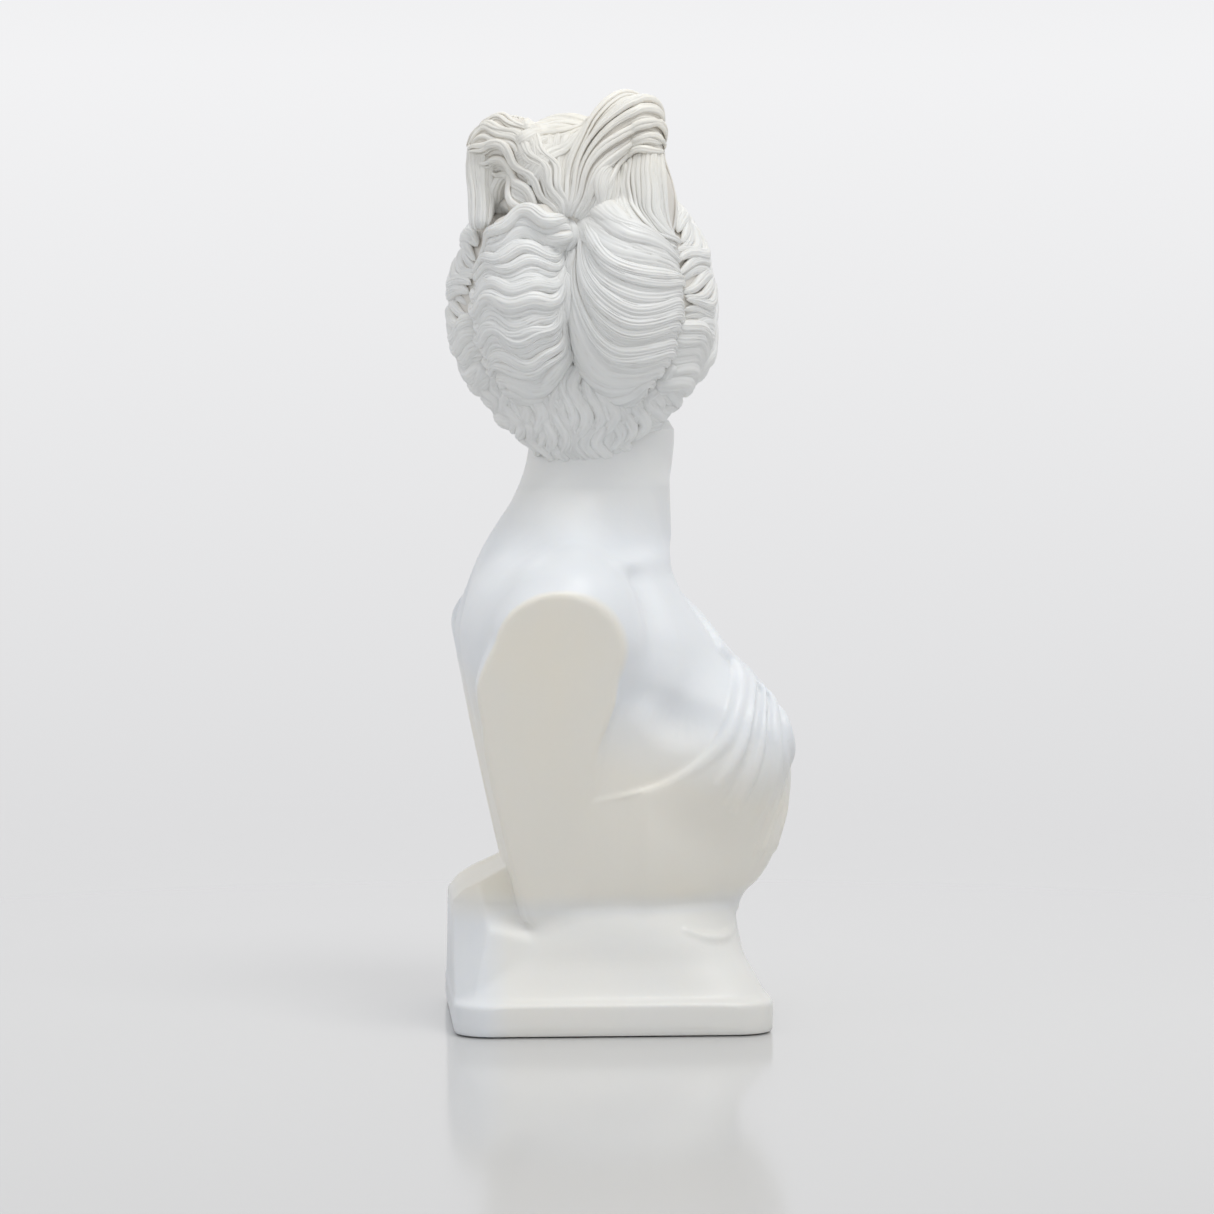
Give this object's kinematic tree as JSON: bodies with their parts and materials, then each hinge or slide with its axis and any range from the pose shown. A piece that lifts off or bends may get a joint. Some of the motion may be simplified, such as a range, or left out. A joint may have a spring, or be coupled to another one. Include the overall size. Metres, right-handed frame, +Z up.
{
  "type": "portrait bust",
  "caption": "Classical female bust with cut-away arms, draped over one shoulder, head turned aside, hair tied in a raised bow above a coiled chignon, on a carved plinth.",
  "frame": {"origin": "on the surface the bust stands on, at the middle of the whole bust's box", "axes": "+Z up, the chest faces -Y, the sitter's left is +X"},
  "size_m": [0.3232, 0.2725, 0.739],
  "materials": {
    "marble_base": "honed white statuary marble",
    "marble_body": "honed white statuary marble",
    "marble_head": "honed white statuary marble",
    "marble_hair": "carved white statuary marble, warmer in the grooves",
    "steel": "drawn stainless bar",
    "felt": "dense dark wool felt"
  },
  "bodies": {
    "root": {"plinth": "marble_base", "torso": "marble_body", "head": "marble_head", "chignon": "marble_hair", "hair_bow": "marble_hair", "plinth_dowel": "steel", "neck_dowel": "steel", "bow_pins": "steel", "chignon_pins": "steel", "felt_pads": "felt"}
  },
  "joints": []
}
